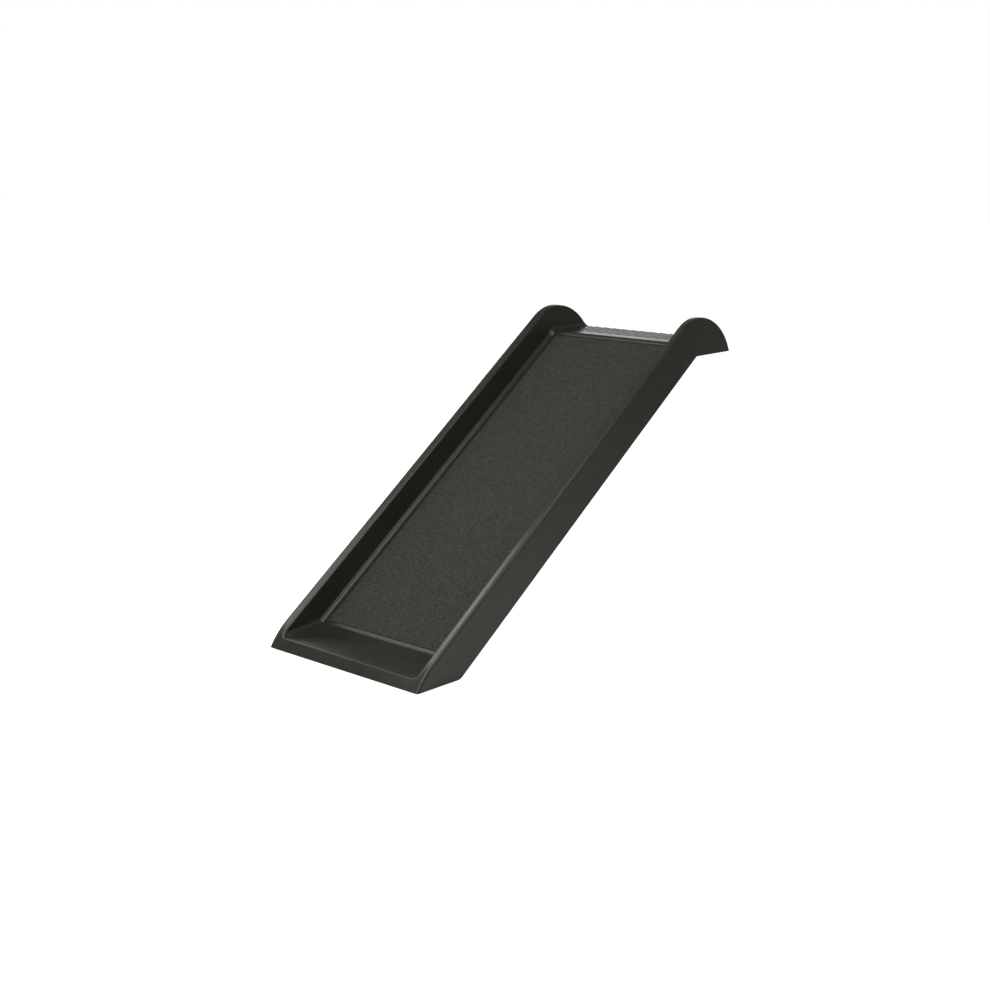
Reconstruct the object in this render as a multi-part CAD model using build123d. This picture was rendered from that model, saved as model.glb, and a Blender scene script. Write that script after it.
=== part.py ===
from build123d import *
from math import asin, cos, radians, sin, tan
import os

# A short one-piece dog ramp, in the pose in which it is used: its foot flat on the floor
# and its hook level on a sill. Millimetres; X across, +Y up the climb, +Z up.
# "s" runs up the straight underside from the back of the foot and "h" stands square to it.

# overall shape, side view
WIDTH = 380.0                # over the outer faces, at their widest
CLIMB_ANGLE = 35.9           # underside against the floor, degrees
FOOT_LENGTH = 102.0          # flat foot, toe tip to the corner under the slope
SLOPE_LENGTH = 820.0         # straight underside between foot and hook
HOOK_LENGTH = 111.0          # level underside of the hook
FOOT_CORNER = 18.0           # rounding under the slope, behind the foot
HOOK_CORNER = 4.0            # rounding in the corner of the hook
TOE_TURN = 22.0              # rails curve down by this much more to the toe tip, degrees
CREST_Y = 776.0              # highest point of the rails' hump
CREST_Z = 554.4

# rails and lane
RAIL_HEIGHT = 73.5           # outer edge of a rail above the underside, square to the slope
BAND_WIDTH = 15.0            # the part of a rail's top that leans inwards
BAND_DROP = 4.2              # how much lower the band's inner side is
CREST_DROP = 0.4             # the same at the hump, which is almost level across
LANE_HALF = 168.0            # half the lane's width at the floor
LANE_DRAFT = 3.0             # lean of the lane's walls, degrees
SIDE_DRAFT = 0.75            # lean of the outer faces, degrees
FLOOR_HEIGHT = 20.0          # lane floor above the underside, square to the slope
TOE_CREASE_S = 18.2          # where the toe plate meets the lane floor
TOE_PLATE_ANGLE = 5.5        # toe plate against the floor, degrees
RISER_S = 818.0              # foot of the small step up to the deck
RISER_LEAN = 10.0            # degrees back from upright
DECK_Z = 504.0               # level deck on top of the hook

# rounded edges
OUTER_EDGE = 4.5
INNER_EDGE = 3.5
LANE_COVE = 8.5
CREASE_COVE = 10.0
DECK_EDGE = 8.0

# inside of the moulding
WALL = 3.5
RIB = 2.2
RIB_PITCH = 80.0
RIB_X = (-99.0, -33.0, 33.0, 99.0)
RIB_FIRST_S = -40.0
RIB_COUNT = 12
BOSS_RADIUS = 9.0
BOSS_HEIGHT = 60.0           # up into the wall above, which cuts it off
MOUTH_DEPTH = 20.0           # how far the cut that opens the underside reaches below it
MOUTH_LAP = 12.0             # that cut's run past the slope's two ends
PILOT_RADIUS = 1.95
PILOT_DEPTH = 10.0

# raised tread on the toe plate and the deck
STUD_LENGTH = 11.0
STUD_WIDTH = 4.0
TOE_STUD_HEIGHT = 0.4
DECK_STUD_HEIGHT = 0.6
STUD_SINK = 0.6
STUD_COLUMNS = 26
STUD_PITCH_X = 12.0
STUD_PITCH_Y = 8.8
TOE_STUD_ROWS = 7
TOE_STUD_Y = -75.0           # first row from the crease
DECK_STUD_ROWS = 9
DECK_STUD_Y = 39.0           # first row from the foot of the step

# parting ridge down the middle of the toe's front face
RIDGE_WIDTH = 1.4
RIDGE_PROUD = 0.5
RIDGE_LOW = 3.0
RIDGE_HIGH = 15.0

# grip mat
MAT_HALF = 151.0
MAT_START_S = 27.0
MAT_END_S = 814.5
MAT_THICKNESS = 1.1
FILM_THICKNESS = 0.2
FILM_INSET = 2.0
MAT_CORNER = 3.0

# rubber feet and their fasteners
PAD_RADIUS = 14.0
PAD_THICKNESS = 5.0
PAD_PROUD = 1.5
PAD_EDGE = 1.0
PAD_HOLE_RADIUS = 2.3
RECESS_RADIUS = 6.5
RECESS_DEPTH = 3.2
WASHER_RADIUS = 5.5
WASHER_HOLE_RADIUS = 2.2
WASHER_THICKNESS = 0.8
SCREW_RADIUS = 1.9
TIP_RADIUS = 0.4
SCREW_LENGTH = 11.0
HEAD_RADIUS = 3.8
HEAD_HEIGHT = 1.7
SLOT_WIDTH = 0.9
SLOT_LENGTH = 4.4
SLOT_DEPTH = 1.0
TOE_FOOT_Y = (32.0, 80.0)
SILL_PAD_Y = (794.0, 846.0)
PAD_X = 140.0

SIN = sin(radians(CLIMB_ANGLE))
COS = cos(radians(CLIMB_ANGLE))
FAR = 1500.0                 # longer than the ramp, for cutting right through it
DEEP = 400.0                 # deeper than the ramp, square to the slope
HALF = WIDTH / 2
FOOT_REAR = (FOOT_LENGTH, 0.0)
HOOK_INNER = (FOOT_LENGTH + SLOPE_LENGTH * COS, SLOPE_LENGTH * SIN)
HOOK_TIP = (HOOK_INNER[0] + HOOK_LENGTH, HOOK_INNER[1])
SILL_Z = HOOK_INNER[1]
TO_ORIGIN = Pos(0, -HOOK_TIP[0] / 2, PAD_PROUD)    # origin under the middle, on the floor
UPWARD = (Align.CENTER, Align.CENTER, Align.MIN)
DOWNWARD = (Align.CENTER, Align.CENTER, Align.MAX)


def slope_point(s, h):
    """(y, z) of a point s up the underside line and h out from it."""
    return (FOOT_LENGTH + s * COS - h * SIN, s * SIN + h * COS)


def slope_height(y, z):
    return -(y - FOOT_LENGTH) * SIN + z * COS


def side_face(rail_height, crest_z):
    """Side outline of the ramp as a face in the YZ plane."""
    toe_s = -FOOT_LENGTH * COS
    toe_drop = rail_height - FOOT_LENGTH * SIN
    toe_turn = radians(TOE_TURN)
    toe_radius = toe_drop / (1 - cos(toe_turn))
    toe_centre_s = toe_s + toe_radius * sin(toe_turn)
    toe_middle = slope_point(toe_centre_s - toe_radius * sin(toe_turn / 2),
                             rail_height - toe_radius * (1 - cos(toe_turn / 2)))
    rail_start = slope_point(toe_centre_s, rail_height)

    front_radius = (rail_height - slope_height(CREST_Y, crest_z)) / (1 - COS)
    climb = radians(CLIMB_ANGLE)
    rail_end = (CREST_Y - front_radius * SIN, crest_z - front_radius * (1 - COS))
    front_middle = (CREST_Y - front_radius * sin(climb / 2),
                    crest_z - front_radius * (1 - cos(climb / 2)))

    run = HOOK_TIP[0] - CREST_Y
    fall = crest_z - HOOK_TIP[1]
    rear_radius = (run ** 2 + fall ** 2) / (2 * fall)
    rear_turn = asin(run / rear_radius)
    rear_middle = (CREST_Y + rear_radius * sin(rear_turn / 2),
                   crest_z - rear_radius * (1 - cos(rear_turn / 2)))

    edges = [
        Line((0, 0), FOOT_REAR),
        Line(FOOT_REAR, HOOK_INNER),
        Line(HOOK_INNER, HOOK_TIP),
        ThreePointArc(HOOK_TIP, rear_middle, (CREST_Y, crest_z)),
        ThreePointArc((CREST_Y, crest_z), front_middle, rail_end),
        Line(rail_end, rail_start),
        ThreePointArc(rail_start, toe_middle, (0, 0)),
    ]
    face = make_face(edges)
    face = fillet(face.vertices().sort_by_distance(FOOT_REAR)[0], FOOT_CORNER)
    return fillet(face.vertices().sort_by_distance(HOOK_INNER)[0], HOOK_CORNER)


def lane_face():
    """Everything above the toe plate, the lane floor and the deck, in the YZ plane."""
    crease = slope_point(TOE_CREASE_S, FLOOR_HEIGHT)
    front = (crease[0] - DEEP, crease[1] - DEEP * tan(radians(TOE_PLATE_ANGLE)))
    riser_foot = slope_point(RISER_S, FLOOR_HEIGHT)
    riser_rise = DECK_Z - riser_foot[1]
    riser_top = (riser_foot[0] + riser_rise * tan(radians(RISER_LEAN)), DECK_Z)
    rear = (HOOK_TIP[0] + DEEP, DECK_Z)
    sky_z = DECK_Z + DEEP
    face = make_face(Polyline(front, crease, riser_foot, riser_top, rear,
                              (rear[0], sky_z), (front[0], sky_z), close=True))
    for corner, radius in ((crease, CREASE_COVE), (riser_top, DECK_EDGE)):
        face = fillet(face.vertices().sort_by_distance(corner)[0], radius)
    return face


def drafted_prism(half_width, lean):
    """Long prism along the slope; half_width holds at h = 0 and changes with the lean."""
    low_half = half_width - DEEP * tan(radians(lean))
    high_half = half_width + DEEP * tan(radians(lean))
    section = Polyline((low_half, -DEEP), (high_half, DEEP),
                       (-high_half, DEEP), (-low_half, -DEEP), close=True)
    square = Plane(origin=(0, FOOT_LENGTH, 0), x_dir=(1, 0, 0), z_dir=(0, -COS, -SIN))
    return extrude(square * make_face(section), FAR, both=True)


def in_side_plane(face, half_width):
    return extrude(Plane.YZ * face, half_width, both=True)


def channel(extra):
    """The lane cut between the rails, grown by extra on its floor and its walls."""
    half = LANE_HALF - FLOOR_HEIGHT * tan(radians(LANE_DRAFT)) + extra
    face = lane_face()
    if extra:
        face = offset(face, extra, kind=Kind.INTERSECTION)
    cut = in_side_plane(face, FAR) & drafted_prism(half, LANE_DRAFT)
    if extra:
        return cut
    coves = [e for e in cut.edges()
             if abs(abs(e.center().X) - LANE_HALF) < 5 and e.center().Z < DECK_Z + 1]
    return fillet(coves, LANE_COVE)


def rail(side):
    """Side rail, ruled from its lower inner outline to its outer outline."""
    inner = side_face(RAIL_HEIGHT - BAND_DROP, CREST_Z - CREST_DROP)
    outer = side_face(RAIL_HEIGHT, CREST_Z)
    return loft([Plane.YZ.offset(side * (HALF - BAND_WIDTH)) * inner,
                 Plane.YZ.offset(side * HALF) * outer], ruled=True)


def outer_prism(inset):
    """Envelope between the drafted outer faces; they are WIDTH apart at the hook's tip."""
    half = HALF + slope_height(*HOOK_TIP) * tan(radians(SIDE_DRAFT)) - inset
    return drafted_prism(half, -SIDE_DRAFT)


def outer_body():
    """Solid outer form with its lane and rounded edges, before it is hollowed."""
    middle = side_face(RAIL_HEIGHT - BAND_DROP, CREST_Z - CREST_DROP)
    body = in_side_plane(middle, HALF - BAND_WIDTH) + rail(-1) + rail(1)
    body = body & outer_prism(0)
    rail_edges = [e for e in body.edges()
                  if abs(e.center().X) > HALF - 5 and e.center().Z > 1
                  and (slope_height(e.center().Y, e.center().Z) > 20 or e.center().Z > SILL_Z + 10)]
    body = fillet(rail_edges, OUTER_EDGE)
    lane = channel(0.0)
    cut = body - lane
    return fillet(new_edges(body, lane, combined=cut), INNER_EDGE)


def inner_face():
    """Side outline set in by the wall."""
    return offset(side_face(RAIL_HEIGHT - BAND_DROP, CREST_Z - CREST_DROP), -WALL)


def mouth_face():
    """The open underside, in the YZ plane, just below the ribs and bosses."""
    toe_y = 2 * WALL
    tip_y = HOOK_TIP[0] - 2 * WALL
    foot = make_face(Polyline((toe_y, -MOUTH_DEPTH), (FOOT_LENGTH, -MOUTH_DEPTH),
                              slope_point(2 * WALL, WALL), (toe_y, WALL), close=True))
    slope = make_face(Polyline(slope_point(-MOUTH_LAP, -MOUTH_DEPTH),
                               slope_point(SLOPE_LENGTH + MOUTH_LAP, -MOUTH_DEPTH),
                               slope_point(SLOPE_LENGTH + WALL, WALL),
                               slope_point(-WALL, WALL), close=True))
    hook = make_face(Polyline((HOOK_INNER[0], SILL_Z - MOUTH_DEPTH), (tip_y, SILL_Z - MOUTH_DEPTH),
                              (tip_y, SILL_Z + WALL), (HOOK_INNER[0], SILL_Z + WALL), close=True))
    return foot + slope + hook


def rib_grid():
    """Cross ribs square to the slope and long ribs beside the middle, as one group."""
    square = Plane(origin=(0, FOOT_LENGTH, 0), x_dir=(1, 0, 0), z_dir=(0, COS, SIN))
    ribs = [square.offset(RIB_FIRST_S + i * RIB_PITCH) * Box(2 * HALF, DEEP, RIB)
            for i in range(RIB_COUNT)]
    ribs += [Pos(x, HOOK_TIP[0] / 2, HOOK_TIP[1] / 2) * Box(RIB, 2 * FAR, FAR) for x in RIB_X]
    return ribs


def pad_places():
    """(end, number, place) of every rubber pad; the place is its top face, on a boss."""
    places = []
    for end, rows, rim_z in (("toe", TOE_FOOT_Y, 0.0), ("sill", SILL_PAD_Y, SILL_Z)):
        spots = [(side * PAD_X, y) for y in rows for side in (-1, 1)]
        for i, (x, y) in enumerate(spots):
            places.append((end, i + 1, Pos(x, y, rim_z - PAD_PROUD + PAD_THICKNESS)))
    return places


def cavity():
    """Space inside the moulding, around its ribs and screw bosses and open underneath."""
    space = in_side_plane(inner_face(), HALF)
    bosses = [place * Cylinder(BOSS_RADIUS, BOSS_HEIGHT, align=UPWARD) for end, i, place in pad_places()]
    space = space - rib_grid() - bosses
    space = space + in_side_plane(mouth_face(), HALF)
    return (space & outer_prism(WALL)) - channel(WALL)


def parting_ridge():
    """Thin upright ridge on the toe's front face."""
    outline = side_face(RAIL_HEIGHT - BAND_DROP, CREST_Z - CREST_DROP)
    front = offset(outline, RIDGE_PROUD) - offset(outline, -RIDGE_PROUD)
    height = RIDGE_HIGH - RIDGE_LOW
    window = Pos(0, 0, RIDGE_LOW) * Box(RIDGE_WIDTH, FOOT_LENGTH, height, align=UPWARD)
    return in_side_plane(front, RIDGE_WIDTH) & window


def stud(x, y, turn, height):
    """Lens-shaped raised stud in the XY plane."""
    tip = STUD_LENGTH / 2
    bulge = STUD_WIDTH / 2
    lens = make_face([ThreePointArc((-tip, 0), (0, bulge), (tip, 0)),
                      ThreePointArc((tip, 0), (0, -bulge), (-tip, 0))])
    solid = extrude(lens, height + STUD_SINK)
    return Pos(x, y, -STUD_SINK) * Rot(0, 0, turn) * solid


def tread(plane, rows, first_y, height):
    """Rows of studs leaning left and right in turn."""
    studs = []
    for row in range(rows):
        for column in range(STUD_COLUMNS):
            turn = 45 if (row + column) % 2 else -45
            x = (column - (STUD_COLUMNS - 1) / 2) * STUD_PITCH_X
            studs.append(plane * stud(x, first_y + row * STUD_PITCH_Y, turn, height))
    return studs


def ramp_shell():
    """The moulding: rails, lane, toe plate, deck, ribs, bosses and tread, in one piece."""
    shell = outer_body() - cavity()
    pilots = [place * Cylinder(PILOT_RADIUS, PILOT_DEPTH, align=UPWARD)
              for end, i, place in pad_places()]
    shell = shell - pilots
    crease = slope_point(TOE_CREASE_S, FLOOR_HEIGHT)
    lean = radians(TOE_PLATE_ANGLE)
    toe_plane = Plane(origin=(0, crease[0], crease[1]), x_dir=(1, 0, 0),
                      z_dir=(0, -sin(lean), cos(lean)))
    deck_plane = Plane(origin=(0, slope_point(RISER_S, FLOOR_HEIGHT)[0], DECK_Z))
    studs = tread(toe_plane, TOE_STUD_ROWS, TOE_STUD_Y, TOE_STUD_HEIGHT)
    studs += tread(deck_plane, DECK_STUD_ROWS, DECK_STUD_Y, DECK_STUD_HEIGHT)
    return shell + studs + parting_ridge()


def sheet(height, thickness, inset):
    """Flat sheet on the lane floor with rounded corners, inset from the mat's outline."""
    length = MAT_END_S - MAT_START_S - 2 * inset
    middle = slope_point((MAT_START_S + MAT_END_S) / 2, height)
    lane = Plane(origin=(0, middle[0], middle[1]), x_dir=(1, 0, 0), z_dir=(0, -SIN, COS))
    outline = RectangleRounded(2 * (MAT_HALF - inset), length, MAT_CORNER)
    return extrude(lane * outline, thickness)


def rubber_pad(place):
    """Round pad with a screw hole and a recess that hides the screw's head."""
    pad = Cylinder(PAD_RADIUS, PAD_THICKNESS, align=DOWNWARD)
    pad = fillet(pad.edges().sort_by(Axis.Z)[0], PAD_EDGE)
    pad = pad - Cylinder(PAD_HOLE_RADIUS, PAD_THICKNESS, align=DOWNWARD)
    recess = Cylinder(RECESS_RADIUS, RECESS_DEPTH, align=UPWARD)
    return place * (pad - Pos(0, 0, -PAD_THICKNESS) * recess)


def washer(place):
    ring = Cylinder(WASHER_RADIUS, WASHER_THICKNESS, align=DOWNWARD)
    ring = ring - Cylinder(WASHER_HOLE_RADIUS, WASHER_THICKNESS, align=DOWNWARD)
    return place * Pos(0, 0, RECESS_DEPTH - PAD_THICKNESS) * ring


def screw(place):
    """Pan-head screw with a cross recess, pointing up into its boss."""
    shank = Cylinder(SCREW_RADIUS, SCREW_LENGTH - SCREW_RADIUS, align=UPWARD)
    tip = Cone(SCREW_RADIUS, TIP_RADIUS, SCREW_RADIUS, align=UPWARD)
    head = Cylinder(HEAD_RADIUS, HEAD_HEIGHT, align=DOWNWARD)
    head = fillet(head.edges().sort_by(Axis.Z)[0], HEAD_HEIGHT / 2)
    slot = Pos(0, 0, -HEAD_HEIGHT) * Box(SLOT_LENGTH, SLOT_WIDTH, SLOT_DEPTH, align=UPWARD)
    body = shank + Pos(0, 0, SCREW_LENGTH - SCREW_RADIUS) * tip + head
    body = body - slot - Rot(0, 0, 90) * slot
    return place * Pos(0, 0, RECESS_DEPTH - PAD_THICKNESS - WASHER_THICKNESS) * body


def ramp_parts():
    """Every piece of the ramp by node name."""
    parts = {
        "ramp_shell": ramp_shell(),
        "mat_adhesive": sheet(FLOOR_HEIGHT, FILM_THICKNESS, FILM_INSET),
        "grip_mat": sheet(FLOOR_HEIGHT + FILM_THICKNESS, MAT_THICKNESS, 0.0),
    }
    for end, i, place in pad_places():
        pad_name = "toe_foot" if end == "toe" else "sill_pad"
        parts[f"{pad_name}_{i}"] = rubber_pad(place)
        parts[f"{end}_washer_{i}"] = washer(place)
        parts[f"{end}_screw_{i}"] = screw(place)
    return parts


os.makedirs("parts", exist_ok=True)
for name, solid in ramp_parts().items():
    export_step(TO_ORIGIN * solid, f"parts/{name}.step")
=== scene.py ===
"""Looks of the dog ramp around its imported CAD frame: materials, pale studio and camera.

Metres, in the part's own frame: X across, +Y up the climb, +Z up, origin on the floor
under the middle. Every piece is a CAD node that keeps its shape and gets a finish here.
"""
import math

import bpy
from mathutils import Euler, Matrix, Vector

# camera: place in metres, angles in degrees, lens and sensor in millimetres
CAMERA_PLACE = (1.9696, -2.1978, 0.9015)
CAMERA_YAW = 42.4105
CAMERA_PITCH = 12.7051
CAMERA_ROLL = -0.1694
CAMERA_LENS = 58.3
CAMERA_SENSOR = 36.0
CAMERA_CLIP = (0.05, 100.0)

# studio
WHITE = (1.0, 1.0, 1.0, 1.0)
FLOOR_RADIUS = 14.0
FLOOR_SIDES = 96
FLOOR_COLOR = (0.9, 0.9, 0.9, 1.0)
FLOOR_ROUGHNESS = 0.6
FLOOR_SPECULAR = 0.2
FLOOR_GLOW = 0.9               # seen by the camera only
AMBIENT = 0.21                 # the background's light on the object
LAMP_CLEARANCE = 0.05          # least gap between the floor and a softbox

# softboxes: name, azimuth from +X, elevation, distance, size, radiance, aimed at
MIDDLE = (0.0, -0.05, 0.25)
TOE = (0.0, -0.40, 0.10)
DECK = (0.0, 0.35, 0.48)
SOFTBOXES = (
    ("front_top", 270.0, 70.0, 1.9, 1.0, 2.8, MIDDLE),
    ("front_high", 270.0, 40.0, 2.0, 1.8, 2.3, MIDDLE),
    ("right_high", 0.0, 34.0, 2.0, 1.0, 2.3, MIDDLE),
    ("toe_top", 200.0, 55.0, 1.4, 0.5, 2.7, TOE),
    ("toe_high", 180.0, 45.0, 1.4, 0.5, 0.9, TOE),
    ("toe_left", 158.0, 22.0, 1.2, 0.4, 2.6, TOE),
    ("toe_low", 150.0, 3.0, 3.0, 1.0, 7.2, TOE),
    ("deck_rear", 128.0, 12.0, 2.0, 0.5, 1.3, DECK),
)

# finishes: linear colours, and sizes and depths of features in metres
RAMP_SLOPE = 35.9              # the climb, in degrees
GLOSS_IOR = 1.5
BLUE_LOSS = 2.2                # how much faster blue falls than red rises in a warm grey
PLASTIC_DARK = (0.020, 0.0182, 0.0122, 1.0)
PLASTIC_LIGHT = (0.025, 0.023, 0.0152, 1.0)
FLOW_SIZE = 0.16
SPECK_SIZE = 0.0016
RUB_STRETCH = (40.0, 6.0, 6.0)
GRAIN_SIZE = 0.0011
GRAIN_DEPTH = 0.00006
WAVE_SIZE = 0.09
WAVE_DEPTH = 0.0006
GRIT_SIZE = 0.0013
GRIT_DEPTH = 0.0005
SHADE_SIZE = 0.0016
MOTTLE_SIZE = 0.0042
MOTTLE_DEPTH = 0.0007
GRIT_DARK = (0.006, 0.0057, 0.0044, 1.0)
GRIT_LIGHT = (0.044, 0.0417, 0.0312, 1.0)
MOTTLE_PALE = (0.062, 0.059, 0.045, 1.0)
MOTTLE_DARK = (0.012, 0.0113, 0.009, 1.0)
BUBBLE_SIZE = 0.004
BUBBLE_DEPTH = 0.00008
FILM_CLOUD_SIZE = 0.02
DUST_SIZE = 0.012
RUBBER_GRAIN_SIZE = 0.0007
RUBBER_GRAIN_DEPTH = 0.00006
BLOTCH_SIZE = 0.004
ZINC_COOL = (0.55, 0.56, 0.55, 1.0)
ZINC_WARM = (0.68, 0.66, 0.58, 1.0)
TURNING_STRETCH = (300.0, 300.0, 4000.0)
TURNING_DEPTH = 0.00002


class Finish:
    """One material and short calls for building its nodes; lengths come in metres."""

    def __init__(self, name):
        self.material = bpy.data.materials.new(name)
        self.material.use_nodes = True
        self.tree = self.material.node_tree
        self.shader = self.tree.nodes["Principled BSDF"]
        self.place = self.add("ShaderNodeTexCoord").outputs["Object"]

    def add(self, kind, **inputs):
        """New node of that kind, with its named inputs fed."""
        node = self.tree.nodes.new(kind)
        for name, value in inputs.items():
            self.feed(node.inputs[name.replace("_", " ")], value)
        return node

    def feed(self, socket, value):
        """Link the socket to another node's output, or set its value."""
        if isinstance(value, bpy.types.NodeSocket):
            self.tree.links.new(value, socket)
        else:
            socket.default_value = value

    def set(self, **inputs):
        for name, value in inputs.items():
            self.feed(self.shader.inputs[name.replace("_", " ")], value)

    def noise(self, size, detail=3.0, rough=0.55, place=None):
        """Cloudy noise from 0 to 1 whose largest features are about size across."""
        node = self.add("ShaderNodeTexNoise", Vector=place or self.place, Scale=1 / size,
                        Detail=detail, Roughness=rough)
        return node.outputs["Fac"]

    def cells(self, size, output="Distance"):
        """Voronoi cells about size across: their distance or their colour."""
        node = self.add("ShaderNodeTexVoronoi", Vector=self.place, Scale=1 / size)
        return node.outputs[output]

    def span(self, value, low, high, to_low=0.0, to_high=1.0):
        """Value from low..high clamped into to_low..to_high."""
        node = self.add("ShaderNodeMapRange", Value=value, From_Min=low, From_Max=high,
                        To_Min=to_low, To_Max=to_high)
        return node.outputs["Result"]

    def math(self, operation, a, b):
        node = self.tree.nodes.new("ShaderNodeMath")
        node.operation = operation
        self.feed(node.inputs[0], a)
        self.feed(node.inputs[1], b)
        return node.outputs["Value"]

    def blend(self, factor, a, b):
        node = self.tree.nodes.new("ShaderNodeMix")
        node.data_type = "RGBA"
        self.feed(node.inputs["Factor"], factor)
        self.feed(node.inputs["A"], a)
        self.feed(node.inputs["B"], b)
        return node.outputs["Result"]

    def bump(self, height, depth, under=None):
        """Bump of that depth in metres, on top of another bump's normal."""
        node = self.add("ShaderNodeBump", Height=height, Distance=depth, Strength=1.0)
        if under is not None:
            self.feed(node.inputs["Normal"], under)
        return node.outputs["Normal"]

    def stretched(self, scale, turn=(0.0, 0.0, 0.0)):
        """The place, turned and then scaled along each axis."""
        turned = self.add("ShaderNodeMapping", Vector=self.place, Rotation=turn)
        return self.add("ShaderNodeMapping", Vector=turned.outputs["Vector"],
                        Scale=scale).outputs["Vector"]


def gray(level, warmth=0.0):
    """Linear colour of that level, redder and less blue by the warmth."""
    return (level * (1 + warmth), level, level * (1 - BLUE_LOSS * warmth), 1.0)


def moulded_plastic():
    """Black moulded plastic with a fine grain, slow flow marks and faint handling marks."""
    f = Finish("moulded_plastic_looks")
    flow = f.noise(FLOW_SIZE, detail=4.0)
    tone = f.blend(f.span(flow, 0.35, 0.65), PLASTIC_DARK, PLASTIC_LIGHT)
    specks = f.span(f.noise(SPECK_SIZE, detail=2.0), 0.62, 0.72)
    tone = f.blend(f.math("MULTIPLY", specks, 0.35), tone, gray(0.042, 0.06))
    rub_place = f.stretched(RUB_STRETCH, (math.radians(-RAMP_SLOPE), 0.0, 0.0))
    rub = f.span(f.noise(1.0, detail=5.0, rough=0.65, place=rub_place), 0.58, 0.72)
    tone = f.blend(f.math("MULTIPLY", rub, 0.25), tone, gray(0.037, 0.06))
    grain = f.noise(GRAIN_SIZE, detail=2.5, rough=0.6)
    rough = f.span(flow, 0.3, 0.7, 0.27, 0.33)
    rough = f.math("ADD", rough, f.span(grain, 0.3, 0.7, -0.03, 0.03))
    rough = f.math("ADD", rough, f.math("MULTIPLY", rub, 0.05))
    wave = f.bump(f.noise(WAVE_SIZE, detail=2.0), WAVE_DEPTH)
    skin = f.bump(grain, GRAIN_DEPTH, under=wave)
    f.set(Base_Color=tone, Roughness=rough, Normal=skin, IOR=GLOSS_IOR)
    return f.material


def grip_surface():
    """Mineral grit on a rubber sheet: small sharp grains, some paler."""
    f = Finish("grip_surface_looks")
    grit = f.cells(GRIT_SIZE)
    shade_color = f.cells(SHADE_SIZE, "Color")
    shade = f.add("ShaderNodeSeparateColor", Color=shade_color).outputs["Red"]
    mottle = f.noise(MOTTLE_SIZE, detail=4.0, rough=0.7)
    tone = f.blend(shade, GRIT_DARK, GRIT_LIGHT)
    tone = f.blend(f.span(mottle, 0.45, 0.68, 0.0, 0.7), tone, MOTTLE_PALE)
    tone = f.blend(f.span(mottle, 0.32, 0.5, 0.65, 0.0), tone, MOTTLE_DARK)
    rough = f.span(shade, 0.0, 1.0, 0.75, 0.95)
    coarse = f.bump(mottle, MOTTLE_DEPTH)
    grains = f.bump(f.span(grit, 0.0, 0.7, 1.0, 0.0), GRIT_DEPTH, under=coarse)
    f.set(Base_Color=tone, Roughness=rough, Normal=grains, IOR=GLOSS_IOR)
    return f.material


def adhesive_film():
    """Thin grey film with small trapped bubbles."""
    f = Finish("adhesive_film_looks")
    bubbles = f.span(f.cells(BUBBLE_SIZE), 0.0, 0.12, 1.0, 0.0)
    tone = f.blend(bubbles, gray(0.30, 0.06), gray(0.45, 0.04))
    f.set(Base_Color=tone, Roughness=f.span(f.noise(FILM_CLOUD_SIZE), 0.3, 0.7, 0.3, 0.5),
          Normal=f.bump(bubbles, BUBBLE_DEPTH))
    return f.material


def pad_rubber():
    """Soft matt rubber with a fine grain and a little dust."""
    f = Finish("pad_rubber_looks")
    dust = f.span(f.noise(DUST_SIZE, detail=5.0, rough=0.7), 0.5, 0.75)
    tone = f.blend(f.math("MULTIPLY", dust, 0.4), gray(0.012, 0.02), gray(0.05, 0.05))
    f.set(Base_Color=tone, Roughness=f.span(dust, 0.0, 1.0, 0.7, 0.88),
          Normal=f.bump(f.noise(RUBBER_GRAIN_SIZE, detail=2.0), RUBBER_GRAIN_DEPTH))
    return f.material


def zinc_steel():
    """Zinc-plated steel with a faint blotchy passivation and turning marks."""
    f = Finish("zinc_steel_looks")
    blotch = f.noise(BLOTCH_SIZE, detail=4.0)
    tone = f.blend(f.span(blotch, 0.35, 0.65), ZINC_COOL, ZINC_WARM)
    marks = f.noise(1.0, detail=2.0, place=f.stretched(TURNING_STRETCH))
    f.set(Base_Color=tone, Metallic=1.0, Roughness=f.span(marks, 0.3, 0.7, 0.28, 0.42),
          Normal=f.bump(marks, TURNING_DEPTH))
    return f.material


def studio_floor():
    """Pale plain floor that meets the background; its glow shows to the camera and lights nothing."""
    f = Finish("studio_floor")
    seen = f.add("ShaderNodeLightPath").outputs["Is Camera Ray"]
    glow = f.math("MULTIPLY", seen, FLOOR_GLOW)
    f.set(Base_Color=FLOOR_COLOR, Roughness=FLOOR_ROUGHNESS, Specular_IOR_Level=FLOOR_SPECULAR,
          Emission_Color=WHITE, Emission_Strength=glow)
    bpy.ops.mesh.primitive_circle_add(vertices=FLOOR_SIDES, radius=FLOOR_RADIUS, fill_type="NGON")
    floor = bpy.context.object
    floor.name = "studio_floor"
    floor.data.materials.append(f.material)


def background():
    """Plain white to the camera, and a weaker even light on the object."""
    made = bpy.data.worlds.new("pale_studio")
    made.use_nodes = True
    nodes = made.node_tree.nodes
    rays = nodes.new("ShaderNodeLightPath")
    strength = nodes.new("ShaderNodeMapRange")
    strength.inputs["To Min"].default_value = AMBIENT
    made.node_tree.links.new(rays.outputs["Is Camera Ray"], strength.inputs["Value"])
    made.node_tree.links.new(strength.outputs["Result"], nodes["Background"].inputs["Strength"])
    nodes["Background"].inputs["Color"].default_value = WHITE
    bpy.context.scene.world = made


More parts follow.
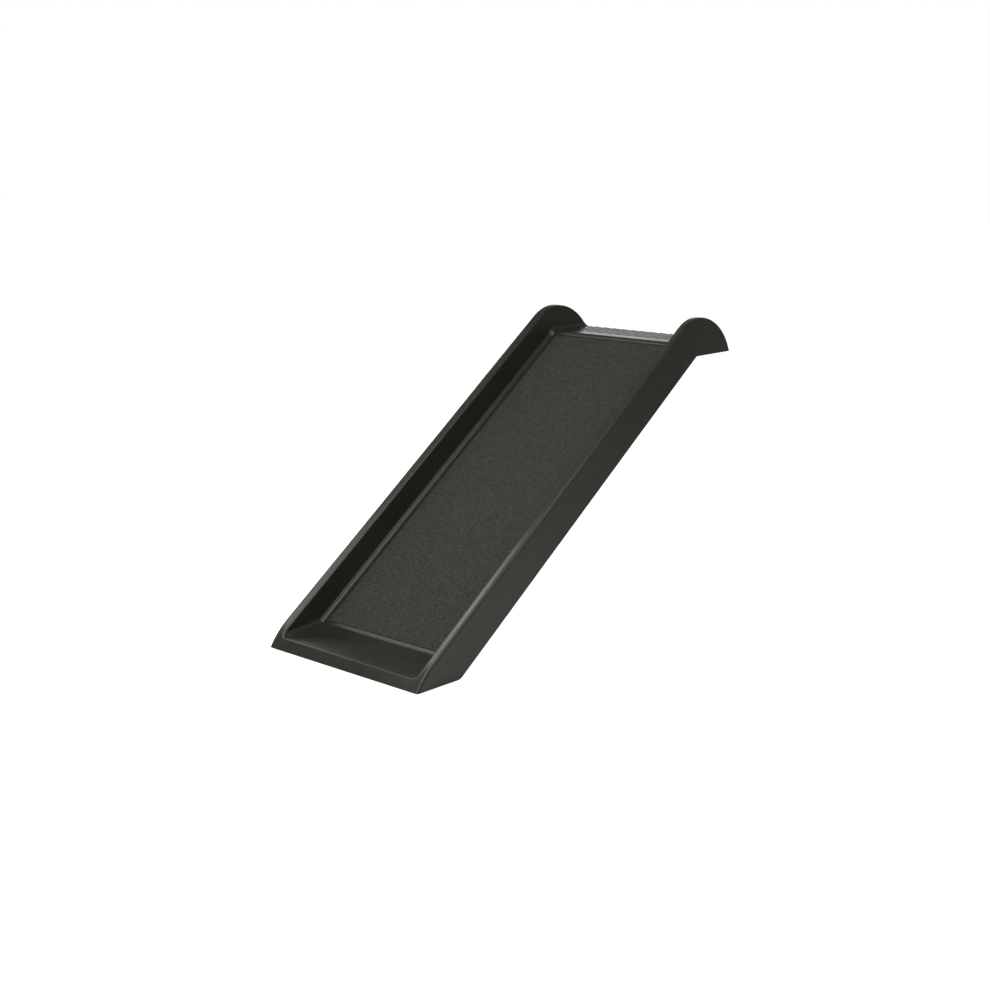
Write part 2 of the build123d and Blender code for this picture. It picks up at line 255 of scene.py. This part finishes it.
def softbox(name, azimuth, elevation, distance, size, radiance, target):
    """Square area light at that distance and direction from its target, kept above the floor."""
    turn, lift = math.radians(azimuth), math.radians(elevation)
    level = math.cos(lift)
    out = Vector((math.cos(turn) * level, math.sin(turn) * level, math.sin(lift)))
    place = Vector(target) + distance * out
    place.z = max(place.z, size / 2 + LAMP_CLEARANCE)
    data = bpy.data.lights.new(name, "AREA")
    data.size = size
    data.energy = math.pi * size ** 2 * radiance
    lamp = bpy.data.objects.new(name, data)
    lamp.location = place
    lamp.rotation_euler = (Vector(target) - place).to_track_quat("-Z", "Y").to_euler()
    lamp.visible_camera = False
    bpy.context.scene.collection.objects.link(lamp)


def camera():
    """Camera at the viewing angle, turned a little about its own axis."""
    data = bpy.data.cameras.new("camera")
    data.lens = CAMERA_LENS
    data.sensor_width = CAMERA_SENSOR
    data.clip_start, data.clip_end = CAMERA_CLIP
    made = bpy.data.objects.new("camera", data)
    made.location = CAMERA_PLACE
    look = Euler((math.radians(90 - CAMERA_PITCH), 0.0, math.radians(CAMERA_YAW)), "XYZ")
    roll = Euler((0.0, 0.0, math.radians(CAMERA_ROLL)), "XYZ")
    made.rotation_euler = (look.to_matrix() @ roll.to_matrix()).to_euler()
    bpy.context.scene.collection.objects.link(made)
    bpy.context.scene.camera = made


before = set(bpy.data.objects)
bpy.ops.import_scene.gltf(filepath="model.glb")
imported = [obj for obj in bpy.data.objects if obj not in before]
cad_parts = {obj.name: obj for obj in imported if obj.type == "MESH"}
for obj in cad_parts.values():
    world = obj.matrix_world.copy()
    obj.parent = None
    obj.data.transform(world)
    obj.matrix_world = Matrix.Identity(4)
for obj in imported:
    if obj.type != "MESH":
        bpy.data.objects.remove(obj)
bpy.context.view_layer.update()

finishes = {
    "moulded_plastic": moulded_plastic(),
    "grip_surface": grip_surface(),
    "adhesive_film": adhesive_film(),
    "pad_rubber": pad_rubber(),
    "zinc_steel": zinc_steel(),
}
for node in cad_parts.values():
    for slot in node.material_slots:
        slot.material = finishes[slot.material.name]

studio_floor()
background()
for box in SOFTBOXES:
    softbox(*box)
camera()
bpy.context.scene.view_settings.view_transform = "Standard"
